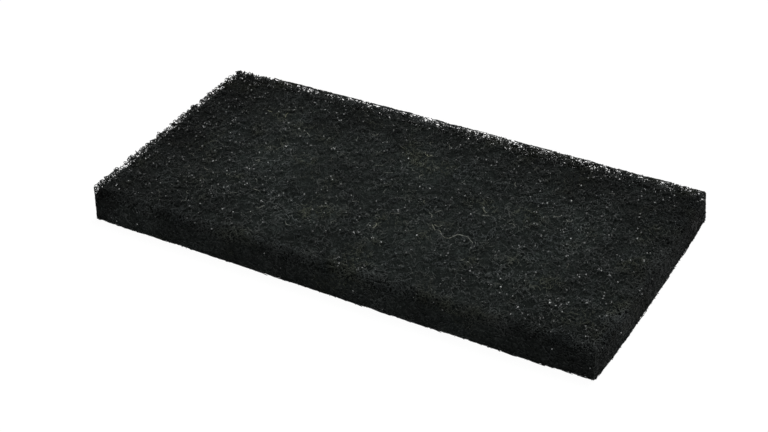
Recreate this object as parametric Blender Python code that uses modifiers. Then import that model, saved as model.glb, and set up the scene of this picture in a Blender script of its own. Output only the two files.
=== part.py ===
"""Abrasive hand pad: one rectangular block of bonded non-woven web, cut from a thick sheet.

Metres, +Z up. The origin is on the surface that the pad lies on, under the middle of its
bounding box. +X runs along the pad's length and +Y across its width.
"""

import bmesh
import bpy
import math

# Overall size, as a rule laid against the pad would read it.
PAD_LENGTH = 0.250
PAD_WIDTH = 0.120
PAD_THICKNESS = 0.016

# The web relaxes after it is cut, so each side stands out at its middle past its corners.
RIGHT_END_BOW = 0.0011
LEFT_END_BOW = 0.0003
BACK_SIDE_BOW = 0.0008
FRONT_SIDE_BOW = 0.0004

# The cut edges are worn round, more at the worked upper face than at the lower one.
TOP_EDGE_RADIUS = 0.0022
BOTTOM_EDGE_RADIUS = 0.0012
CORNER_RADIUS = 0.0018
EDGE_SEGMENTS = 4

# How finely the bowed sides are divided. Both are even, so that a side's middle is a point.
LENGTH_STEPS = 12
WIDTH_STEPS = 8

# Two faces that turn by more than this meet at an edge of the block.
EDGE_ANGLE = math.radians(45)

WEB_COLOUR = (0.018, 0.020, 0.019, 1.0)
WEB_ROUGHNESS = 0.7


def clear_scene():
    for thing in list(bpy.data.objects):
        bpy.data.objects.remove(thing)


def collection_named(name):
    made = bpy.data.collections.new(name)
    bpy.context.scene.collection.children.link(made)
    return made


def web_material():
    made = bpy.data.materials.new("black_web")
    made.use_nodes = True
    shader = made.node_tree.nodes["Principled BSDF"]
    shader.inputs["Base Color"].default_value = WEB_COLOUR
    shader.inputs["Roughness"].default_value = WEB_ROUGHNESS
    shader.inputs["Metallic"].default_value = 0.0
    return made


def runs_along(edge, axis):
    """True for an edge that lies along an axis, given as 0, 1 or 2."""
    run = edge.verts[1].co - edge.verts[0].co
    return abs(run[axis]) > 0.9 * run.length


def cut_across(edit, axis, steps):
    """Cuts the block into equal steps along an axis."""
    edges = [edge for edge in edit.edges if runs_along(edge, axis)]
    bmesh.ops.subdivide_edges(edit, edges=edges, cuts=steps - 1, use_grid_fill=True)


def bow_sides(edit):
    """Draws the corners in, so that each side stands out at its middle and the overall size holds."""
    for vert in edit.verts:
        along = vert.co.x / (PAD_LENGTH / 2)
        across = vert.co.y / (PAD_WIDTH / 2)
        end_bow = RIGHT_END_BOW if along > 0 else LEFT_END_BOW
        side_bow = BACK_SIDE_BOW if across > 0 else FRONT_SIDE_BOW
        vert.co.x -= end_bow * along * across**2
        vert.co.y -= side_bow * across * along**2


def edge_radius(edge):
    """How far an edge of the block is worn round. A cut across a flat face stays as it is."""
    if edge.calc_face_angle() < EDGE_ANGLE:
        return 0.0
    if runs_along(edge, 2):
        return CORNER_RADIUS
    return TOP_EDGE_RADIUS if edge.verts[0].co.z > 0 else BOTTOM_EDGE_RADIUS


def weigh_edges(edit, largest):
    """Gives each edge its share of the largest radius, which the bevel multiplies out again."""
    weight = edit.edges.layers.float.new("bevel_weight_edge")
    for edge in edit.edges:
        edge[weight] = edge_radius(edge) / largest


def make_pad(collection):
    largest = max(TOP_EDGE_RADIUS, BOTTOM_EDGE_RADIUS, CORNER_RADIUS)
    edit = bmesh.new()
    bmesh.ops.create_cube(edit, size=1.0)
    bmesh.ops.scale(edit, vec=(PAD_LENGTH, PAD_WIDTH, PAD_THICKNESS), verts=edit.verts)
    cut_across(edit, 0, LENGTH_STEPS)
    cut_across(edit, 1, WIDTH_STEPS)
    weigh_edges(edit, largest)
    bow_sides(edit)
    mesh = bpy.data.meshes.new("abrasive_pad")
    edit.to_mesh(mesh)
    edit.free()
    mesh.shade_smooth()
    mesh.materials.append(web_material())

    pad = bpy.data.objects.new("abrasive_pad", mesh)
    pad.location.z = PAD_THICKNESS / 2
    collection.objects.link(pad)
    worn = pad.modifiers.new("worn_edges", "BEVEL")
    worn.limit_method = "WEIGHT"
    worn.width = largest
    worn.segments = EDGE_SEGMENTS


clear_scene()
make_pad(collection_named("abrasive_hand_pad"))
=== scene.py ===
"""Looks of the abrasive hand pad: an open web of black curled fibres over a dark heart.

Metres, +Z up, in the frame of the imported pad: the long side along X, the bottom at Z = 0.
The web is real fibres for half a millimetre in from its sides and a little over one from its
top, and all through its upper edges, where light comes through. Deeper down it is one rough
block, whose fibres are bump.
"""

import math
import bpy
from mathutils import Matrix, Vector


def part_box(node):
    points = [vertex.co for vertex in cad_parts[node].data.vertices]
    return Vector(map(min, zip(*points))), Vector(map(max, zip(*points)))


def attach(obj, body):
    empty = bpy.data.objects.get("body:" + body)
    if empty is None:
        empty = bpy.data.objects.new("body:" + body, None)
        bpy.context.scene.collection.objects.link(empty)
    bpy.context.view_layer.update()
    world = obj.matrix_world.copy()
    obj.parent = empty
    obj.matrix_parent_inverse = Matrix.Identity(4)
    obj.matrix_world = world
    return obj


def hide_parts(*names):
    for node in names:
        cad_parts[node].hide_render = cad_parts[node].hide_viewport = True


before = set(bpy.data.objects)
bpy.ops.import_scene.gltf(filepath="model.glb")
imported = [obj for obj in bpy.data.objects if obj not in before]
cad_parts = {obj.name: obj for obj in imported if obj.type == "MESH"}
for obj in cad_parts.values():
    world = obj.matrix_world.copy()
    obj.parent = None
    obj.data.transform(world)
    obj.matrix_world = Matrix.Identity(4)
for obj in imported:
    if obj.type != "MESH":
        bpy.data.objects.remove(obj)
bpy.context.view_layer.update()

from types import SimpleNamespace

import bmesh
import bpy
import numpy as np
from mathutils import Matrix, Vector

NODE = "abrasive_pad"
BODY = "root"
LOW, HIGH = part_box(NODE)
LENGTH, WIDTH, THICKNESS = HIGH - LOW
SEED = 20

# The photograph's camera.
CAMERA_PLACE = Vector((0.3001, -0.5001, 0.4216))
CAMERA_AIM = Vector((-0.0068, 0.0004, 0.0))
CAMERA_ROLL = math.radians(3.05)
CAMERA_LENS_MM = 73.93

# The outer form of the web. Loose fibres stand a little out of the block's top and sides.
FUZZ = 0.0007
SIDE_FUZZ = 0.0007
CROWN = 0.0005
TOP_EDGE_RADII = {"right_end": 0.0020, "left_end": 0.0006, "back": 0.0006, "front": 0.0045}
# The front edge is worn round, but not for this far from its left corner.
SHARP_FRONT = 0.012
BOTTOM_EDGE_RADIUS = 0.0003
CORNER_RADIUS = 0.0012
LUMP_HEIGHT = 0.0005
LUMP_SPACING = 0.011
# Over this far from the sides, where the cut edge is straight, the lumps sink to this share.
LEVEL_RIM = 0.008
LUMPS_AT_RIM = 0.2
# The web is limp, and its corners stand off. Each shift has the (x, y) signs of its corner, how
# far it reaches from there, and how far it moves the top and the bottom.
CORNER_SHIFTS = [
    ((-1, -1), 0.0200, (-0.0002, 0.0002, 0.0009), (0.0, -0.0011, 0.0)),
    ((1, 1), 0.0200, (0.0004, 0.0006, 0.0006), (0.0003, 0.0033, 0.0)),
    ((1, 1), 0.0025, (0.0, 0.0, -0.0006), (0.0, 0.0, 0.0)),
    ((1, -1), 0.0025, (0.0, 0.0, 0.0), (-0.0007, 0.0005, 0.0)),
]
# How far its foot spreads under its own weight, along x at its ends and along y at its sides.
FOOT_SPREAD = (0.0002, 0.0005)

# The heart of the pad: how far it stays from each face of the outer form, how large its faces
# are, and how rough it is.
HEART_FROM_TOP = 0.0013
HEART_FROM_SIDE = 0.00055
HEART_FROM_BOTTOM = 0.00022
HEART_STEP = 0.00125
HEART_ROUGHNESS = 0.0002
# How far in from each side, at the top face, the heart begins.
OPEN_EDGES = {"right_end": 0.0044, "left_end": 0.0028, "back": 0.0067, "front": 0.0044}

# How far into the heart a fibre is kept, how far above the floor, and how deep the lowest lie.
BURIED = 0.0003
LEAST_ABOVE_FLOOR = 0.00002
UNDER_DEPTH = 0.0006

# The makings of each kind of fibre: its radius, the length of its straight steps and how many
# there are, the radius that it curls at, how steeply it rises, and how many start in each cm3.
UPPER = SimpleNamespace(radius=0.00014, step=0.0007, steps=14, curl=0.0007, rise=40, per_cm3=230)
EDGE = SimpleNamespace(radius=0.00016, step=0.0008, steps=11, curl=0.0009, rise=32, per_cm3=400)
UNDER = SimpleNamespace(radius=0.00016, step=0.0012, steps=11, curl=0.0014, rise=8, per_cm3=120)
RIM = SimpleNamespace(radius=0.00015, step=0.0012, steps=10, curl=0.0011, rise=4)
# How close together the fibres of each side are, against the number above.
SIDE_DENSITY = {"right_end": 1.0, "left_end": 0.80, "back": 1.0, "front": 1.0}
# How far past its open edge they go on starting, among the upper face's fibres.
SIDE_OVERLAP = {"right_end": 0.0, "left_end": 0.0024, "back": 0.0, "front": 0.0}
# How far outside the pad a fibre may start, and then be cut where it meets the side.
START_MARGIN = 0.003
# How much deeper than its open edge a side's fibres are looked for, as the sides are bowed.
START_PLAY = 0.0015
# How much of a fibre's turn is kept at each step, and the steepest climb against its usual one.
MEMORY = 0.8
STEEPEST = 2
# How unevenly the resin thickens the fibres, and the thinnest and thickest knots against that.
KNOTTING = 0.35
KNOTS = (-1, 2)

# Strands that run along the edges: how many lie side by side, and how deep under the edge.
UPPER_RIM_STRANDS = {"right_end": 2, "left_end": 1, "back": 5, "front": 0}
LOWER_RIM_STRANDS = 8
RIM_DEPTH = 0.00045
# How far each sways from the line of its edge, in radians.
UPPER_RIM_SWAY = 0.15
LOWER_RIM_SWAY = 0.05
# How far past the CAD pad's side they begin, and how near a corner they go no further out.
RIM_BEYOND = 0.0003
CORNER_ZONE = 0.002
# Strands that run up the corners given as (x, y) signs: how many, of how many points, and how far
# past the CAD sides and above the CAD pad they stand.
CLOSED_CORNERS = [(-1, -1), (1, -1), (1, 1)]
CORNER_STRANDS = 7
CORNER_POINTS = 15
CORNER_BEYOND = (0.00005, 0.00030)
CORNER_RISE = 0.0002
# How much they wander at each point, and how far in they may get by that.
CORNER_WANDER = 0.00005
CORNER_MOST_IN = 0.0002
# A strand or loop at an edge lies between these shares of its depth from both faces.
EDGE_SHARES = (0.1, 1)

# Loops that stand out of the edges: points on each, and how far round it goes each way.
LOOP_POINTS = 13
LOOP_SPREAD = math.radians(140)
LOOP_RADII = (0.0006, 0.0012)
LOOP_SPACING = 0.0011
# How much the loops lean up, how far they turn from that by chance, how wide they are against
# their length, how far out their middle stands against their radius, and how uneven they are.
LOOP_LIFT = 0.5
LOOP_SCATTER = 0.5
LOOP_WIDTHS = (0.6, 1.1)
LOOP_STANDS = 0.5
LOOP_WOBBLE = 0.00006
# How deep inside the edge they are rooted.
LOOP_DEPTH = 0.0010
LOOP_FIBRE_RADIUS = 0.00020
LOOP_KNOTTING = 0.2
# How far along the back edge they go on from its left corner, and how large they are there.
LOOPS_ON_BACK = 0.012
LOOP_SIZES = {"left_end": 1.0, "back": 0.7}
# How far from the left end's corners they stay.
LOOPS_FROM_CORNER = 0.0015

# Abrasive grit on the fibres: most crystals are small, the more so the higher the rarity.
GRIT_COUNT = 2570
GRIT_RADII = (0.00013, 0.00050)
GRIT_RARITY = 3.5
# How far each corner of a crystal stands out, against its radius.
GRIT_STRETCH = (0.7, 1.3)
# How deep in the web they are found.
GRIT_DEPTH = 0.00035
# For each crystal on the sides, this many on the upper face.
GRIT_ON_TOP = 16

# Fibres that the resin missed, on the upper face: paler and finer.
BARE = SimpleNamespace(radius=0.00008, step=0.0010, steps=4, curl=0.0022, rise=5)
BARE_COUNT = 55
BARE_DEPTH = 0.0001
BARE_INSET = 0.012
BARE_KNOTTING = 0.25
# The longest of them, near the middle, by the places that it passes.
LONG_BARE_FIBRE = [
    (0.0270, -0.0152), (0.0289, -0.0171), (0.0303, -0.0185), (0.0319, -0.0181), (0.0334, -0.0191),
    (0.0350, -0.0210), (0.0368, -0.0218), (0.0386, -0.0214), (0.0397, -0.0196), (0.0403, -0.0177),
    (0.0413, -0.0166), (0.0432, -0.0169), (0.0453, -0.0168), (0.0470, -0.0180), (0.0494, -0.0198),
]
# From this place on it is this much thicker.
LONG_BARE_THICK_FROM = 7
LONG_BARE_THICKENING = 1.35

# Space between the parts of a map for baking, in metres of the pad.
MAP_MARGIN = 0.004

# Colours and roughness: the darkest and the palest, the smoothest and the roughest.
WEB_COLOURS = (0.0085, 0.0108, 0.0101), (0.0692, 0.0762, 0.0735)
WEB_ROUGHNESS = (0.3, 0.6)
BARE_COLOURS = (0.05, 0.053, 0.045), (0.36, 0.37, 0.32)
BARE_ROUGHNESS = (0.35, 0.5)
# The deep fibres are darker than the outer ones by painted shade, the shade of the web over them.
DEEP_COLOURS = (0.0049, 0.0067, 0.0060), (0.0242, 0.0294, 0.0274)
DEEP_ROUGHNESS = (0.5, 0.9)
# The palest crystals are partly pale grit and partly painted highlights that stand in for glints.
GRIT_COLOURS = (0.019, 0.022, 0.021), (0.78, 0.81, 0.80)
GRIT_ROUGHNESS = (0.15, 0.4)
# The resin hardly shines. Crystals shine as their refractive index makes them.
WEB_SHINE = 0.06
GRIT_IOR = 2.2
# Most crystals are dark, the more so the higher this is.
GRIT_DARKENING = 2.6
# The resin is a little yellower in some places and bluer in others.
PLAIN = (1.0, 1.0, 1.0)
WARM = (1.0, 1.0, 0.80)
COOL = (0.97, 1.0, 1.03)

# Sizes of the noise in the materials, as lumps in a metre.
WORN_SCALE = 38
WARM_SCALE = 55
COOL_SCALE = 70
TONE_SCALES = (90, 900)
FLECK_SCALE = 1700
GLOSS_SCALE = 700
DEEP_LINE_SCALES = (420, 610, 800)
DEEP_PATCH_SCALE = 150
GRIT_TONE_SCALE = 1500
GRIT_GLOSS_SCALE = 2100

# The stretch of each noise that is drawn out to the whole range of what it drives. That of the
# tone is for a sum of two.
USUAL_RANGE = (0.35, 0.65)
TONE_RANGE = (0.75, 1.25)
WARM_RANGE = (0.50, 0.68)
COOL_RANGE = (0.50, 0.35)
FLECK_RANGE = (0.38, 0.62)
DEEP_PATCH_RANGE = (0.4, 0.6)
GRIT_TONE_RANGE = (0.35, 0.76)

# How strongly flecks and large patches darken and lighten the web.
FLECKS = (0.68, 1.32)
WORN_PATCHES = (0.73, 1.27)
# The least share of the palest colour on a fibre, and the least light on a deep one.
LEAST_PALE = 0.15
LEAST_DEEP = 0.3
# Deep fibres: how wide the lines of the noise are, from full to nothing, and their bump.
DEEP_LINE_WIDTHS = (0.012, 0.035)
DEEP_LINE_DISTORTION = 0.8
DEEP_BUMP_STRENGTH = 0.8
DEEP_BUMP_HEIGHT = 0.0003

# Painted shade: bands that darken the web's colour towards its edges, standing in for the shade there.
# Each band has its axis, the place from where outward it is darkest, the place where it ends, and the
# share of the colour that is left at its darkest.
PAINTED_SHADE_BANDS = [
    ("X", 0.125, 0.112, 0.72),
    ("X", 0.050, -0.010, 0.90),
    ("Y", 0.042, 0.025, 0.57),
    ("Y", -0.058, -0.030, 0.82),
    ("Y", -0.0602, -0.0570, 0.74),
]
# One more band of painted shade at the left end. It fades away between these two places at the front.
LEFT_SHADE_BAND = (-0.112, -0.070, 0.34)
FRONT_SIDE = (-0.0585, -0.0602)

# The ground and the light.
FLOOR_HALF_SIZE = 3.0
FLOOR_GREY = 0.75
FLOOR_ROUGHNESS = 0.9
# How white the ground shows by itself, and how much of that covers the shadow on it.
FLOOR_WHITE = 1.03
FLOOR_COVER = 0.935
WORLD_LIGHT = 0.24
# Where each sun stands, how many degrees wide it is, and its strength.
KEY_SUN = ((0.12, 0.5, 1.25), 22, 2.4)
FILL_SUN = ((0.1, -1.0, 0.45), 40, 0.75)


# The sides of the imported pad


def points_of(mesh):
    """The places of a mesh's vertices, one row each."""
    flat = np.empty(3 * len(mesh.vertices), dtype=np.float32)
    mesh.vertices.foreach_get("co", flat)
    return flat.reshape(-1, 3).astype(float)


def side_line(axis, sign):
    """(places along a side, how far out the CAD pad reaches there), read off its vertices."""
    other = 1 - axis
    rounded_zone = 0.0022
    same_place = 1e-4
    points = points_of(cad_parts[NODE].data)
    size = (LENGTH, WIDTH)
    near = points[sign * points[:, axis] > size[axis] / 2 - rounded_zone]
    near = near[np.abs(near[:, other]) < size[other] / 2 - rounded_zone]
    along = np.unique(near[:, other].round(5))
    out = [np.max(sign * near[np.abs(near[:, other] - a) < same_place, axis]) for a in along]
    return along, np.array(out)


# Each side's name, the axis it faces along and which way.
SIDES = {"right_end": (0, 1), "left_end": (0, -1), "back": (1, 1), "front": (1, -1)}
SIDE_LINES = [side_line(*facing) for facing in SIDES.values()]


# Shapes of the pad as functions of place


def waves(spacing, seed, count=24):
    """A smooth random field of x and y, about -1 to 1, whose lumps are that far apart."""
    rng = np.random.default_rng(seed)
    fewest, most = 0.6, 1.6
    angle = rng.uniform(0, 2 * math.pi, count)
    size = rng.uniform(fewest, most, count) * 2 * math.pi / spacing
    phase = rng.uniform(0, 2 * math.pi, count)

    def field(x, y):
        total = np.zeros_like(x)
        for a, k, p in zip(angle, size, phase):
            total += np.sin(k * (math.cos(a) * x + math.sin(a) * y) + p)
        return total / math.sqrt(count)

    return field


lumps = waves(LUMP_SPACING, SEED)


def top_height(points):
    """The upper face over each point: almost level, with shallow lumps."""
    fade = np.clip(side_gaps(points).min(axis=0) / LEVEL_RIM, LUMPS_AT_RIM, 1)
    dip = 0.5 + 0.5 * fade * np.clip(lumps(points[:, 0], points[:, 1]), -1, 1)
    crown = CROWN * (1 - (points[:, 0] / HIGH.x) ** 2)
    return HIGH.z + FUZZ + crown - LUMP_HEIGHT * dip


def side_gaps(points):
    """How far each point is inside each of the four sides, in the order of SIDES."""
    found = []
    for (axis, sign), (along, out) in zip(SIDES.values(), SIDE_LINES):
        reach = np.interp(points[:, 1 - axis], along, out)
        found.append(reach + SIDE_FUZZ - sign * points[:, axis])
    return np.array(found)


def round_depth(first, second, radius):
    """Depth below a rounded edge, from the depths below the two faces that meet at it."""
    a = first - radius
    b = second - radius
    return radius + np.where((a < 0) & (b < 0), -np.hypot(a, b), np.minimum(a, b))


def gaps(points):
    """How far each point is inside the nearest side, the top and the bottom."""
    right, left, back, front = side_gaps(points)
    side = round_depth(np.minimum(right, left), np.minimum(back, front), CORNER_RADIUS)
    return side, top_height(points) - points[:, 2], points[:, 2] - LOW.z


def past_open_edges(points):
    """How far each point is inside each of the four open edges, in the order of SIDES."""
    return side_gaps(points) - np.array([OPEN_EDGES[name] for name in SIDES])[:, None]


def top_edge_radius(points, side):
    """The radius of the upper edge nearest to each point, from the gaps to the four sides."""
    radii = np.array([TOP_EDGE_RADII[name] for name in SIDES])[side.argmin(axis=0)]
    from_left = np.clip((points[:, 0] - LOW.x) / SHARP_FRONT, 0, 1)
    least = min(TOP_EDGE_RADII.values())
    return least + from_left * (radii - least)


def depth_in_web(points):
    """Depth below the web's outer form, whose edges are round. Negative is outside."""
    side, top, bottom = gaps(points)
    above = top_edge_radius(points, side_gaps(points))
    radius = np.where(top < bottom, above, BOTTOM_EDGE_RADIUS)
    return round_depth(side, np.minimum(top, bottom), radius)


def depth_in_heart(points):
    """Depth below the heart's surface. Negative is outside it."""
    side, top, bottom = gaps(points)
    slope = (past_open_edges(points).min(axis=0) + top - HEART_FROM_TOP) / math.sqrt(2)
    return np.minimum.reduce(
        [side - HEART_FROM_SIDE, top - HEART_FROM_TOP, bottom - HEART_FROM_BOTTOM, slope]
    )


def at_rest(points):
    """Where points of the straight pad really lie, with its limp corners standing off."""
    moved = points.copy()
    rise = np.clip((points[:, 2] - LOW.z) / THICKNESS, 0, 1)[:, None]
    moved[:, :2] += (1 - rise) * FOOT_SPREAD * points[:, :2] / (LENGTH / 2, WIDTH / 2)
    for signs, reach, top_shift, bottom_shift in CORNER_SHIFTS:
        corner = np.array(signs) * (LENGTH / 2, WIDTH / 2)
        away = np.linalg.norm(points[:, :2] - corner, axis=1)[:, None]
        shift = rise * np.array(top_shift) + (1 - rise) * np.array(bottom_shift)
        moved += np.exp(-((away / reach) ** 2)) * shift
    return moved


# Paths of the fibres


def walks(rng, starts, kind, along=None, sway=0.0):
    """Curling paths: each keeps turning in the web's plane, and waves up and down as it goes.

    With along, a direction in radians, they sway about it instead of curling.
    """
    fresh = math.sqrt(1 - MEMORY**2)
    count = len(starts)
    heading = rng.uniform(0, 2 * math.pi, count)
    turn = rng.normal(size=count)
    rise = rng.normal(size=count)
    path = [starts]
    for _ in range(kind.steps):
        turn = MEMORY * turn + fresh * rng.normal(size=count)
        rise = MEMORY * rise + fresh * rng.normal(size=count)
        heading = heading + kind.step / kind.curl * turn
        if along is not None:
            heading = along + sway * turn
        climb = math.radians(kind.rise) * np.clip(rise, -STEEPEST, STEEPEST)
        flat = np.cos(climb)
        way = np.stack([flat * np.cos(heading), flat * np.sin(heading), np.sin(climb)], axis=1)
        path.append(path[-1] + kind.step * way)
    return np.stack(path, axis=1)


def folded_back(paths, radius):
    """Paths that leave the web upwards or downwards, turned back into it."""
    flat = paths.reshape(-1, 3).copy()
    ceiling = top_height(flat) - radius
    floor = LOW.z + LEAST_ABOVE_FLOOR + radius
    flat[:, 2] = np.where(flat[:, 2] > ceiling, 2 * ceiling - flat[:, 2], flat[:, 2])
    flat[:, 2] = np.where(flat[:, 2] < floor, 2 * floor - flat[:, 2], flat[:, 2])
    return flat.reshape(paths.shape)


def flush_end(path, depth, inner, outer):
    """The place between two points of a path where it meets the web's outer form."""
    share = depth[inner] / (depth[inner] - depth[outer])
    return (path[inner] + share * (path[outer] - path[inner]))[None]


def runs_in_shell(paths):
    """Cuts the paths into runs between the web's outer form and the heart.

    A run that meets a side ends flush with it, as the cutter left it. Returns the points of
    all runs, and the number of the run that each belongs to.
    """
    fewest_points = 3
    count, length, _ = paths.shape
    flat = paths.reshape(-1, 3)
    web = depth_in_web(flat).reshape(count, length)
    heart = depth_in_heart(flat).reshape(count, length)
    inside = (web > 0) & (heart < BURIED)
    rows, firsts = np.nonzero(inside & ~np.pad(inside, ((0, 0), (1, 0)))[:, :-1])
    _, lasts = np.nonzero(inside & ~np.pad(inside, ((0, 0), (0, 1)))[:, 1:])
    runs = []
    for row, first, last in zip(rows, firsts, lasts):
        run = [paths[row, first:last + 1]]
        if first > 0 and web[row, first - 1] <= 0:
            run.insert(0, flush_end(paths[row], web[row], first, first - 1))
        if last < length - 1 and web[row, last + 1] <= 0:
            run.append(flush_end(paths[row], web[row], last, last + 1))
        run = np.concatenate(run)
        if len(run) >= fewest_points:
            runs.append(run)
    return np.concatenate(runs), np.repeat(np.arange(len(runs)), [len(run) for run in runs])


def whole_runs(paths):
    """The points of all paths, and the number of the path that each belongs to."""
    count, length, _ = paths.shape
    return paths.reshape(-1, 3), np.repeat(np.arange(count), length)


def starts_where(rng, low, high, per_cm3, wanted):
    """Places spread evenly in a box, of which those that are wanted and not in the heart stay."""
    cm3_in_m3 = 1e6
    volume = np.prod(np.subtract(high, low)) * cm3_in_m3
    spots = rng.uniform(low, high, (int(volume * per_cm3), 3))
    return spots[(depth_in_heart(spots) < 0) & wanted(spots)]


# Meshes


def slanted_spots(vertices):
    """A slanted view from above, so that no face of a fibre is without width on the map."""
    slant_x, slant_y = 0.31, 0.23
    x = vertices[:, 0] - LOW.x + slant_x * (vertices[:, 2] - LOW.z) + MAP_MARGIN
    y = vertices[:, 1] - LOW.y + slant_y * (vertices[:, 2] - LOW.z) + MAP_MARGIN
    wide = LENGTH + slant_x * THICKNESS + 2 * MAP_MARGIN
    high = WIDTH + slant_y * THICKNESS + 2 * MAP_MARGIN
    return np.clip(np.stack([x / wide, y / high], axis=1), 0, 1)


def triangle_mesh(name, vertices, faces, spots=None):
    """A mesh of triangles, mapped for baking by a place for each face corner or from above."""
    mesh = bpy.data.meshes.new(name)
    mesh.vertices.add(len(vertices))
    mesh.vertices.foreach_set("co", vertices.astype(np.float32).ravel())
    mesh.loops.add(3 * len(faces))
    mesh.loops.foreach_set("vertex_index", faces.astype(np.int32).ravel())
    mesh.polygons.add(len(faces))
    mesh.polygons.foreach_set("loop_start", np.arange(0, 3 * len(faces), 3, dtype=np.int32))
    mesh.update(calc_edges=True)
    if spots is None:
        spots = slanted_spots(vertices)[faces.ravel()]
    layer = mesh.uv_layers.new(name="OFBake")
    layer.data.foreach_set("uv", spots.astype(np.float32).ravel())
    return mesh


def piece(name, mesh, material):
    """A piece of the pad, made of a mesh of the straight pad and a material."""
    placed = at_rest(points_of(mesh))
    placed[:, 2] = np.maximum(placed[:, 2], LOW.z)
    mesh.vertices.foreach_set("co", placed.astype(np.float32).ravel())
    mesh.materials.append(material)
    obj = bpy.data.objects.new(name, mesh)
    bpy.context.scene.collection.objects.link(obj)
    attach(obj, BODY)
    return obj


def tube_mesh(name, points, owners, radii):
    """Closed three-sided tubes along runs of points. Each run's points follow one another."""
    corners = 3
    first_turn = 0.25
    nearly_up = (0.13, 0.09, 1.0)
    least = 1e-12
    same = owners[1:] == owners[:-1]
    steps = (points[1:] - points[:-1]) * same[:, None]
    forward = np.pad(steps, ((0, 1), (0, 0))) + np.pad(steps, ((1, 0), (0, 0)))
    forward /= np.linalg.norm(forward, axis=1, keepdims=True) + least
    beside = np.cross(forward, nearly_up)
    beside /= np.linalg.norm(beside, axis=1, keepdims=True) + least
    above = np.cross(beside, forward)
    rings = []
    for k in range(corners):
        angle = 2 * math.pi * (k + first_turn) / corners
        offset = math.cos(angle) * beside + math.sin(angle) * above
        rings.append(points + radii[:, None] * offset)
    vertices = np.stack(rings, axis=1).reshape(-1, 3)

    near = corners * np.nonzero(same)[0]
    faces = []
    for k in range(corners):
        a = near + k
        b = near + (k + 1) % corners
        faces.append(np.stack([a, b, b + corners], axis=1))
        faces.append(np.stack([a, b + corners, a + corners], axis=1))
    first = corners * np.nonzero(np.pad(~same, (1, 0), constant_values=True))[0]
    last = corners * np.nonzero(np.pad(~same, (0, 1), constant_values=True))[0]
    faces.append(np.stack([first + 2, first + 1, first], axis=1))
    faces.append(np.stack([last, last + 1, last + 2], axis=1))
    mesh = triangle_mesh(name, vertices, np.concatenate(faces))
    mesh.shade_smooth()
    return mesh


def strands(name, rng, points, owners, radius, material, knotting=KNOTTING):
    """A piece made of runs of fibre, thick and thin by turns where the resin gathered."""
    knots = 1 + knotting * np.clip(rng.normal(size=len(points)), *KNOTS)
    return piece(name, tube_mesh(name, points, owners, radius * knots), material)


# Materials


def new_material(name):
    """A material of that name, its node tree and its shader."""
    material = bpy.data.materials.new(name)
    material.use_nodes = True
    return material, material.node_tree, material.node_tree.nodes["Principled BSDF"]


def noise(tree, scale, detail=2.0, distortion=0.0):
    """A noise texture in the object's own metres."""
    place = tree.nodes.new("ShaderNodeTexCoord")
    texture = tree.nodes.new("ShaderNodeTexNoise")
    texture.inputs["Scale"].default_value = scale
    texture.inputs["Detail"].default_value = detail
    texture.inputs["Distortion"].default_value = distortion
    tree.links.new(place.outputs["Object"], texture.inputs["Vector"])
    return texture.outputs["Fac"]


def math_node(tree, operation, first, second=None):
    """The outcome of an operation on numbers or sockets."""
    node = tree.nodes.new("ShaderNodeMath")
    node.operation = operation
    for socket, value in zip(node.inputs, (first, second)):
        if isinstance(value, (int, float)):
            socket.default_value = value
        elif value is not None:
            tree.links.new(value, socket)
    return node.outputs[0]


def ranged(tree, value, low, high, to_low=0.0, to_high=1.0):
    """The value, mapped from low..high to to_low..to_high and kept inside it."""
    node = tree.nodes.new("ShaderNodeMapRange")
    node.inputs["From Min"].default_value = low
    node.inputs["From Max"].default_value = high
    node.inputs["To Min"].default_value = to_low
    node.inputs["To Max"].default_value = to_high
    tree.links.new(value, node.inputs["Value"])
    return node.outputs["Result"]


def blended(tree, factor, first, second, kind="MIX"):
    """Two colours, each a tuple or a socket, mixed by a factor, which is a number or a socket."""
    node = tree.nodes.new("ShaderNodeMix")
    node.data_type = "RGBA"
    node.blend_type = kind
    sockets = (node.inputs[0], node.inputs[6], node.inputs[7])
    for socket, value in zip(sockets, (factor, first, second)):
        if isinstance(value, float):
            socket.default_value = value
        elif isinstance(value, tuple):
            socket.default_value = (*value, 1)
        else:
            tree.links.new(value, socket)
    return node.outputs[2]


def patches_and_painted_shade(tree):
    """A share of the colour: random paler and darker patches, times bands of painted shade that darken
    it towards the edges, 1 in the middle and less near the edges.
    """
    place = tree.nodes.new("ShaderNodeTexCoord")
    split = tree.nodes.new("ShaderNodeSeparateXYZ")
    tree.links.new(place.outputs["Object"], split.inputs["Vector"])
    share = ranged(tree, noise(tree, WORN_SCALE, 1.0), *USUAL_RANGE, *WORN_PATCHES)
    # Painted shade: each band darkens the colour towards an edge.
    for axis, darkest, end, least in PAINTED_SHADE_BANDS:
        part = ranged(tree, split.outputs[axis], darkest, end, least, 1.0)
        share = math_node(tree, "MULTIPLY", share, part)
    left = ranged(tree, split.outputs["X"], *LEFT_SHADE_BAND, 1.0)
    front = ranged(tree, split.outputs["Y"], *FRONT_SIDE)
    return math_node(tree, "MULTIPLY", share, math_node(tree, "MAXIMUM", left, front))


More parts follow.
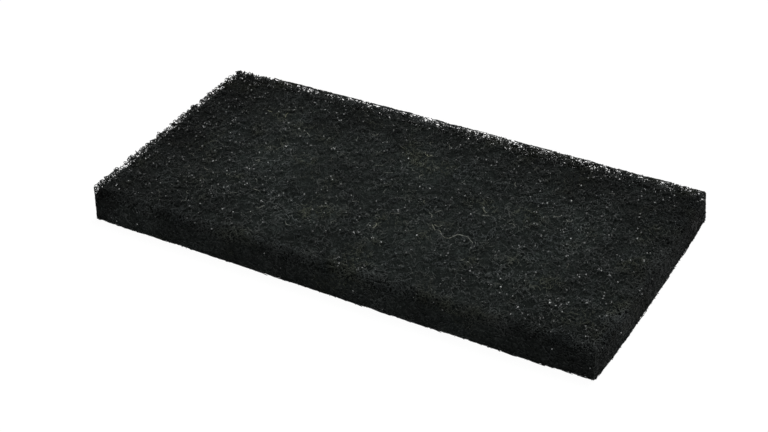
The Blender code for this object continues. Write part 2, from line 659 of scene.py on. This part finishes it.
def fibre_material(name, colours, roughness):
    """Resin-coated fibre: two tones, mixed by place at two scales, with random flecks and patches, and
    painted shade towards the edges.
    """
    material, tree, shader = new_material(name)
    broad, fine = TONE_SCALES
    both = math_node(tree, "ADD", noise(tree, broad), noise(tree, fine, 1.0))
    tone = ranged(tree, both, *TONE_RANGE, LEAST_PALE, 1.0)
    warmth = ranged(tree, noise(tree, WARM_SCALE, 1.0), *WARM_RANGE)
    coolness = ranged(tree, noise(tree, COOL_SCALE, 1.0), *COOL_RANGE)
    tint = blended(tree, coolness, blended(tree, warmth, PLAIN, WARM), COOL)
    colour = blended(tree, 1.0, blended(tree, tone, *colours), tint, "MULTIPLY")
    flecks = ranged(tree, noise(tree, FLECK_SCALE, 0.0), *FLECK_RANGE, *FLECKS)
    # Random flecks and patches, and painted shade towards the edges.
    shade = math_node(tree, "MULTIPLY", flecks, patches_and_painted_shade(tree))
    colour = blended(tree, 1.0, colour, shade, "MULTIPLY")
    tree.links.new(colour, shader.inputs["Base Color"])
    gloss = ranged(tree, noise(tree, GLOSS_SCALE, 1.0), *USUAL_RANGE, *roughness)
    tree.links.new(gloss, shader.inputs["Roughness"])
    shader.inputs["Specular IOR Level"].default_value = WEB_SHINE
    return material


def heart_material():
    """Fibres seen deep in the web: thin curling lines on black, drawn as the level lines of noise,
    darker than the outer fibres by painted shade.
    """
    material, tree, shader = new_material("deep_web")
    lines = None
    for scale in DEEP_LINE_SCALES:
        folds = noise(tree, scale, 1.0, DEEP_LINE_DISTORTION)
        level = math_node(tree, "SUBTRACT", folds, 0.5)
        line = ranged(tree, math_node(tree, "ABSOLUTE", level), *DEEP_LINE_WIDTHS, 1.0, 0.0)
        lines = line if lines is None else math_node(tree, "MAXIMUM", lines, line)
    patch = ranged(tree, noise(tree, DEEP_PATCH_SCALE), *DEEP_PATCH_RANGE, LEAST_DEEP, 1.0)
    tone = math_node(tree, "MULTIPLY", lines, patch)
    colour = blended(tree, tone, *DEEP_COLOURS)
    # Random patches, and painted shade towards the edges.
    colour = blended(tree, 1.0, colour, patches_and_painted_shade(tree), "MULTIPLY")
    tree.links.new(colour, shader.inputs["Base Color"])
    smoothest, roughest = DEEP_ROUGHNESS
    gloss = ranged(tree, lines, 0.0, 1.0, roughest, smoothest)
    tree.links.new(gloss, shader.inputs["Roughness"])
    bump = tree.nodes.new("ShaderNodeBump")
    bump.inputs["Strength"].default_value = DEEP_BUMP_STRENGTH
    bump.inputs["Distance"].default_value = DEEP_BUMP_HEIGHT
    tree.links.new(lines, bump.inputs["Height"])
    tree.links.new(bump.outputs["Normal"], shader.inputs["Normal"])
    shader.inputs["Specular IOR Level"].default_value = WEB_SHINE
    return material


def grit_material():
    """Hard dark crystals whose flat faces glint, some of them paler, partly as painted highlights."""
    material, tree, shader = new_material("grit")
    paleness = ranged(tree, noise(tree, GRIT_TONE_SCALE, 0.0), *GRIT_TONE_RANGE)
    tone = math_node(tree, "POWER", paleness, GRIT_DARKENING)
    colour = blended(tree, tone, *GRIT_COLOURS)
    # Random patches, and painted shade towards the edges.
    colour = blended(tree, 1.0, colour, patches_and_painted_shade(tree), "MULTIPLY")
    tree.links.new(colour, shader.inputs["Base Color"])
    gloss = ranged(tree, noise(tree, GRIT_GLOSS_SCALE, 0.0), *USUAL_RANGE, *GRIT_ROUGHNESS)
    tree.links.new(gloss, shader.inputs["Roughness"])
    shader.inputs["IOR"].default_value = GRIT_IOR
    return material


# The heart of the web


def block_mesh(name, low, high, step):
    """A closed block of faces about a step long, each side mapped to a place of its own."""
    size = high - low
    counts = np.maximum(1, np.round(size / step)).astype(int)
    lattice = np.stack(np.meshgrid(*(np.arange(n + 1) for n in counts), indexing="ij"), axis=-1)
    outer = ((lattice == 0) | (lattice == counts)).any(axis=-1)
    number = np.full(outer.shape, -1)
    number[outer] = np.arange(outer.sum())
    vertices = low + lattice[outer] / counts * size

    sheet = np.array([size[0] + size[1], 2 * size[1] + 2 * size[2]]) + 4 * MAP_MARGIN
    corner = np.array([MAP_MARGIN, MAP_MARGIN])
    faces, spots = [], []
    for axis in (2, 1, 0):
        across, up = [other for other in (0, 1, 2) if other != axis]
        for far in (0, 1):
            side = np.take(number, -far, axis=axis)
            around = [side[:-1, :-1], side[1:, :-1], side[1:, 1:], side[:-1, 1:]]
            if (far == 1) == (axis == 1):
                around.reverse()
            quads = np.stack([part.ravel() for part in around], axis=1)
            corners = np.concatenate([quads[:, [0, 1, 2]], quads[:, [0, 2, 3]]]).ravel()
            faces.append(corners.reshape(-1, 3))
            spots.append((vertices[corners][:, [across, up]] - low[[across, up]] + corner) / sheet)
            corner = corner + (0, size[up] + MAP_MARGIN)
        if axis == 1:
            corner = np.array([size[0] + 2 * MAP_MARGIN, MAP_MARGIN])
    return triangle_mesh(name, vertices, np.concatenate(faces), np.concatenate(spots))


def chamfered(points, low, high):
    """Points of a block, those near its upper edges moved in and down to a flat slope."""
    moved = points.copy()
    for name, (axis, sign) in SIDES.items():
        side = high[axis] if sign > 0 else low[axis]
        from_edge = sign * (side - points[:, axis]) + high[2] - points[:, 2]
        push = np.maximum(OPEN_EDGES[name] - HEART_FROM_SIDE - from_edge, 0) / 2
        moved[:, axis] -= sign * push
        moved[:, 2] = np.minimum(moved[:, 2], points[:, 2] - push)
    return moved


def roughened(rng, points, low, high):
    """The points of a block shifted a little each way, but none below its floor."""
    most = 1.5
    shift = HEART_ROUGHNESS * np.clip(rng.normal(size=points.shape), -most, most)
    moved = points + shift
    moved[:, 2] = np.maximum(moved[:, 2], low[2])
    return moved


def bowed(points):
    """Points of a straight block, drawn in near its corners as the CAD pad's sides are."""
    moved = points.copy()
    for (axis, sign), (along, out) in zip(SIDES.values(), SIDE_LINES):
        outward = sign * points[:, axis] > 0
        reach = np.interp(points[:, 1 - axis], along, out) / HIGH[axis]
        moved[outward, axis] *= reach[outward]
    return moved


def heart_piece(rng):
    """The solid heart: a rough block whose upper edges are cut away, so that light gets through."""
    beyond = SIDE_FUZZ - HEART_FROM_SIDE
    under_top = HEART_FROM_TOP + LUMP_HEIGHT / 2 - FUZZ
    low = np.array(LOW) - (beyond, beyond, -HEART_FROM_BOTTOM)
    high = np.array(HIGH) + (beyond, beyond, -under_top)
    mesh = block_mesh("web_heart", low, high, HEART_STEP)
    points = chamfered(points_of(mesh), low, high)
    points = bowed(roughened(rng, points, low, high))
    mesh.vertices.foreach_set("co", points.astype(np.float32).ravel())
    mesh.shade_smooth()
    heart = piece("web_heart", mesh, heart_material())
    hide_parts(NODE)


# The web over the heart


def add_fibres(name, rng, kind, low, high, wanted, material, density=1.0, halved=False):
    """Fibres that start in a box, as one piece, or halved into those of its left and its right."""
    starts = starts_where(rng, low, high, density * kind.per_cm3, wanted)
    paths = folded_back(walks(rng, starts, kind), kind.radius)
    points, owners = runs_in_shell(paths)
    if not halved:
        strands(name, rng, points, owners, kind.radius, material)
        return points
    on_left = points[np.searchsorted(owners, owners), 0] < 0
    for half, chosen in (("left", on_left), ("right", ~on_left)):
        strands(f"{name}_{half}", rng, points[chosen], owners[chosen], kind.radius, material)
    return points


def add_upper_fibres(rng, material):
    """The upper face's fibres lie almost flat. They are made in three stretches of its length."""
    names = ("upper_fibres_left", "upper_fibres_middle", "upper_fibres_right")
    cuts = np.linspace(LOW.x, HIGH.x, len(names) + 1)
    high_z = HIGH.z + FUZZ
    low_z = high_z - LUMP_HEIGHT - HEART_FROM_TOP
    made = []
    for name, west, east in zip(names, cuts, cuts[1:]):
        low, high = (west, LOW.y, low_z), (east, HIGH.y, high_z)
        made.append(
            add_fibres(
                name, rng, UPPER, low, high,
                lambda spots: past_open_edges(spots).min(axis=0) > 0, material,
            )
        )
    return np.concatenate(made)


def add_side_fibres(rng, material):
    """Each side's fibres, with those of its open edge. The long sides are two pieces each."""
    made = []
    for number, name in enumerate(SIDES):
        axis, sign = SIDES[name]
        beyond = Vector((START_MARGIN, START_MARGIN, 0))
        low, high = list(LOW - beyond), list(HIGH + beyond)
        inward = OPEN_EDGES[name] + SIDE_OVERLAP[name] + START_PLAY
        if sign > 0:
            low[axis] = HIGH[axis] - inward
        else:
            high[axis] = LOW[axis] + inward
        low[2] += HEART_FROM_BOTTOM
        high[2] += FUZZ

        def wanted(spots):
            past = past_open_edges(spots)
            return (past.argmin(axis=0) == number) & (past.min(axis=0) < SIDE_OVERLAP[name])

        made.append(
            add_fibres(
                name + "_fibres", rng, EDGE, low, high, wanted, material, SIDE_DENSITY[name],
                halved=(axis == 1),
            )
        )
    return np.concatenate(made)


def add_under_fibres(rng, material):
    """The fibres that the pad lies on."""
    low, high = list(LOW), list(HIGH)
    high[2] = LOW.z + UNDER_DEPTH
    add_fibres("under_fibres", rng, UNDER, low, high, lambda spots: spots[:, 2] > LOW.z, material)


def edge_spots(rng, name, count, upper, inset, beyond=0.0):
    """Places along an upper or a lower edge, up to that far inside both of its faces.

    Beyond is how far past the CAD pad's side they may stand.
    """
    axis, sign = SIDES[name]
    along, out = SIDE_LINES[list(SIDES).index(name)]
    half = (LENGTH, WIDTH)[1 - axis] / 2
    spots = np.zeros((count, 3))
    spots[:, 1 - axis] = rng.uniform(-half, half, count)
    reach = np.interp(spots[:, 1 - axis], along, out)
    spots[:, axis] = sign * (reach + beyond - rng.uniform(*EDGE_SHARES, count) * inset)
    rise = rng.uniform(*EDGE_SHARES, count) * inset
    spots[:, 2] = top_height(spots) - rise if upper else LOW.z + rise
    return spots


def corner_strands(rng, x_sign, y_sign):
    """Strands that run up one of the pad's upright corners, from its foot to its top."""
    reach = []
    for axis, sign, across in ((0, x_sign, y_sign * WIDTH / 2), (1, y_sign, x_sign * LENGTH / 2)):
        along, out = SIDE_LINES[list(SIDES.values()).index((axis, sign))]
        reach.append(np.interp(across, along, out))
    beyond = rng.uniform(*CORNER_BEYOND, (CORNER_STRANDS, 2))
    steps = rng.normal(scale=CORNER_WANDER, size=(CORNER_STRANDS, CORNER_POINTS, 2))
    wander = np.clip(np.cumsum(steps, axis=1), -CORNER_MOST_IN, 0.0)
    paths = np.zeros((CORNER_STRANDS, CORNER_POINTS, 3))
    paths[:, :, :2] = ((reach + beyond)[:, None] + wander) * (x_sign, y_sign)
    paths[:, :, 2] = np.linspace(LOW.z + RIM_DEPTH, HIGH.z + CORNER_RISE, CORNER_POINTS)
    return paths


def kept_in_corners(points):
    """Points of rims, drawn in near the upright corners to where the rims begin."""
    moved = points.copy()
    ends, sides = side_gaps(points).reshape(2, 2, -1).min(axis=1)
    near = np.maximum(ends, sides) < CORNER_ZONE
    for axis, inside in enumerate((ends, sides)):
        push = np.where(near, np.maximum(SIDE_FUZZ - RIM_BEYOND - inside, 0), 0)
        moved[:, axis] -= np.sign(points[:, axis]) * push
    return moved


def add_rims(rng, material):
    """Strands that lie along the edges and close them, fewer of them where the edge is ragged."""
    paths = []
    for name, (axis, _) in SIDES.items():
        for upper in (True, False):
            abreast = UPPER_RIM_STRANDS[name] if upper else LOWER_RIM_STRANDS
            length = (LENGTH, WIDTH)[1 - axis]
            count = int(abreast * length / (RIM.step * RIM.steps))
            spots = edge_spots(rng, name, count, upper, RIM_DEPTH, RIM_BEYOND)
            if upper and name == "back":
                spots = spots[spots[:, 0] > LOW.x + LOOPS_ON_BACK + RIM.step * RIM.steps / 2]
            spots[:, 1 - axis] -= RIM.step * RIM.steps / 2
            along = 0.0 if axis == 1 else math.pi / 2
            sway = UPPER_RIM_SWAY if upper else LOWER_RIM_SWAY
            paths.append(walks(rng, spots, RIM, along, sway))
    rims = np.concatenate(paths)
    uprights = np.concatenate([corner_strands(rng, *signs) for signs in CLOSED_CORNERS])
    rim_points, rim_owners = runs_in_shell(folded_back(rims, RIM.radius))
    upright_points, upright_owners = runs_in_shell(folded_back(uprights, RIM.radius))
    points = kept_in_corners(np.concatenate([rim_points, upright_points]))
    owners = np.concatenate([rim_owners, upright_owners + rim_owners.max() + 1])
    strands("rim_strands", rng, points, owners, RIM.radius, material)


def loops(rng, anchors, outward, size):
    """Open loops that stand out of the web at each anchor, their ends inside it."""
    count = len(anchors)
    radius = size * rng.uniform(*LOOP_RADII, count)[:, None]
    out = outward + rng.normal(scale=LOOP_SCATTER, size=(count, 3))
    out /= np.linalg.norm(out, axis=1, keepdims=True)
    across = np.cross(out, rng.normal(size=(count, 3)))
    across /= np.linalg.norm(across, axis=1, keepdims=True)
    width = rng.uniform(*LOOP_WIDTHS, count)[:, None]
    path = []
    for angle in np.linspace(-LOOP_SPREAD, LOOP_SPREAD, LOOP_POINTS):
        reach = radius * (math.cos(angle) * out + width * math.sin(angle) * across)
        path.append(anchors + LOOP_STANDS * radius * out + reach)
    wobble = rng.normal(scale=LOOP_WOBBLE, size=(count, LOOP_POINTS, 3))
    return np.stack(path, axis=1) + wobble


def add_loops(rng, material):
    """Loops along the left end's upper edge, and a little way on along the back edge."""
    paths = []
    for name, length in (("left_end", WIDTH), ("back", LOOPS_ON_BACK)):
        axis, sign = SIDES[name]
        count = int((LENGTH, WIDTH)[1 - axis] / LOOP_SPACING)
        spots = edge_spots(rng, name, count, True, LOOP_DEPTH)
        from_end = spots[:, 1 - axis] - LOW[1 - axis]
        spots = spots[(from_end > LOOPS_FROM_CORNER) & (from_end < length - LOOPS_FROM_CORNER)]
        outward = np.zeros(3)
        outward[axis] = sign
        outward[2] = LOOP_LIFT
        paths.append(loops(rng, spots, outward, LOOP_SIZES[name]))
    points, owners = whole_runs(np.concatenate(paths))
    strands("edge_loops", rng, points, owners, LOOP_FIBRE_RADIUS, material, LOOP_KNOTTING)


def add_bare_fibres(rng, material):
    """Pale fibres lying loose on the upper face, one of them long."""
    inset = Vector((BARE_INSET, BARE_INSET, 0))
    starts = rng.uniform(LOW + inset, HIGH - inset, (BARE_COUNT, 3))
    points, owners = whole_runs(walks(rng, starts, BARE))
    long = np.array([(x, y, 0) for x, y in LONG_BARE_FIBRE])
    points = np.concatenate([points, long])
    owners = np.concatenate([owners, np.full(len(long), BARE_COUNT)])
    points[:, 2] = top_height(points) - BARE_DEPTH
    radii = np.full(len(points), BARE.radius)
    radii[len(points) - len(long) + LONG_BARE_THICK_FROM:] *= LONG_BARE_THICKENING
    strands("bare_fibres", rng, points, owners, radii, material, BARE_KNOTTING)


def add_grit(rng, on_top, on_sides, material):
    """Small crystals stuck to the outermost fibres: each a lopsided octahedron."""
    share = GRIT_ON_TOP / (1 + GRIT_ON_TOP)
    places = []
    for points, count in ((on_top, share), (on_sides, 1 - share)):
        outermost = points[depth_in_web(points) < GRIT_DEPTH]
        places.append(outermost[rng.integers(0, len(outermost), round(count * GRIT_COUNT))])
    places = np.concatenate(places)
    corners = np.array([(1, 0, 0), (0, 1, 0), (-1, 0, 0), (0, -1, 0), (0, 0, 1), (0, 0, -1)])
    sides = np.array(
        [(0, 1, 4), (1, 2, 4), (2, 3, 4), (3, 0, 4), (1, 0, 5), (2, 1, 5), (3, 2, 5), (0, 3, 5)]
    )
    count = len(places)
    turns, _ = np.linalg.qr(rng.normal(size=(count, 3, 3)))
    turns *= np.linalg.det(turns)[:, None, None]
    smallest, largest = GRIT_RADII
    radius = smallest + (largest - smallest) * rng.uniform(0, 1, (count, 1, 1)) ** GRIT_RARITY
    stretch = radius * rng.uniform(*GRIT_STRETCH, (count, len(corners), 1))
    crystals = np.einsum("nij,nkj->nki", turns, stretch * corners[None])
    vertices = (places[:, None] + crystals).reshape(-1, 3)
    vertices[:, 2] = np.maximum(vertices[:, 2], LOW.z + LEAST_ABOVE_FLOOR)
    faces = (sides[None] + len(corners) * np.arange(count)[:, None, None]).reshape(-1, 3)
    piece("grit", triangle_mesh("grit", vertices, faces), material)


def add_pieces():
    """The heart and all that lies over it, from one row of random numbers."""
    rng = np.random.default_rng(SEED)
    heart_piece(rng)
    web = fibre_material("web_fibre", WEB_COLOURS, WEB_ROUGHNESS)
    bare = fibre_material("bare_fibre", BARE_COLOURS, BARE_ROUGHNESS)
    upper = add_upper_fibres(rng, web)
    sides = add_side_fibres(rng, web)
    add_under_fibres(rng, web)
    add_rims(rng, web)
    add_loops(rng, web)
    add_bare_fibres(rng, bare)
    add_grit(rng, upper, sides, grit_material())


# Camera, floor and light


def add_camera():
    """The camera that took the photograph, with its slight roll."""
    data = bpy.data.cameras.new("photo_camera")
    data.lens = CAMERA_LENS_MM
    camera = bpy.data.objects.new("photo_camera", data)
    level = (CAMERA_AIM - CAMERA_PLACE).to_track_quat("-Z", "Y").to_matrix().to_4x4()
    camera.matrix_world = (
        Matrix.Translation(CAMERA_PLACE) @ level @ Matrix.Rotation(-CAMERA_ROLL, 4, "Z")
    )
    bpy.context.scene.collection.objects.link(camera)
    bpy.context.scene.camera = camera


def seen_share(tree, share):
    """That share where the camera, gloss or glass looks, and 0 for the light that falls on the pad."""
    path = tree.nodes.new("ShaderNodeLightPath")
    seen = path.outputs["Is Camera Ray"]
    for name in ("Is Glossy Ray", "Is Transmission Ray"):
        seen = math_node(tree, "MAXIMUM", seen, path.outputs[name])
    return math_node(tree, "MULTIPLY", seen, share)


def add_floor():
    """Pale ground, most of it white by itself where it is seen."""
    edit = bmesh.new()
    bmesh.ops.create_grid(edit, x_segments=1, y_segments=1, size=FLOOR_HALF_SIZE)
    mesh = bpy.data.meshes.new("floor")
    edit.to_mesh(mesh)
    edit.free()
    material, tree, shader = new_material("pale_floor")
    shader.inputs["Base Color"].default_value = (FLOOR_GREY, FLOOR_GREY, FLOOR_GREY, 1)
    shader.inputs["Roughness"].default_value = FLOOR_ROUGHNESS
    shader.inputs["Specular IOR Level"].default_value = 0.0
    white = tree.nodes.new("ShaderNodeEmission")
    white.inputs["Strength"].default_value = FLOOR_WHITE
    mix = tree.nodes.new("ShaderNodeMixShader")
    tree.links.new(seen_share(tree, FLOOR_COVER), mix.inputs["Fac"])
    tree.links.new(shader.outputs[0], mix.inputs[1])
    tree.links.new(white.outputs[0], mix.inputs[2])
    tree.links.new(mix.outputs[0], tree.nodes["Material Output"].inputs["Surface"])
    mesh.materials.append(material)
    floor = bpy.data.objects.new("floor", mesh)
    bpy.context.scene.collection.objects.link(floor)


def add_world(strength):
    """White where it is seen, and dimmer as light on the pad."""
    world = bpy.data.worlds.new("studio")
    bpy.context.scene.world = world
    world.use_nodes = True
    tree = world.node_tree
    backdrop = tree.nodes["Background"]
    backdrop.inputs["Color"].default_value = (1, 1, 1, 1)
    power = ranged(tree, seen_share(tree, 1.0), 0.0, 1.0, strength, 1.0)
    tree.links.new(power, backdrop.inputs["Strength"])


def add_sun(name, toward, breadth, strength):
    """A soft, even light from one direction, as wide as a large lamp far off."""
    data = bpy.data.lights.new(name, "SUN")
    data.angle = math.radians(breadth)
    data.energy = strength
    light = bpy.data.objects.new(name, data)
    light.rotation_mode = "QUATERNION"
    light.rotation_quaternion = (-Vector(toward)).to_track_quat("-Z", "Y")
    light.location = Vector(toward)
    bpy.context.scene.collection.objects.link(light)


bpy.context.scene.view_settings.view_transform = "Standard"
add_camera()
add_floor()
add_world(WORLD_LIGHT)
add_sun("key", *KEY_SUN)
add_sun("fill", *FILL_SUN)
add_pieces()
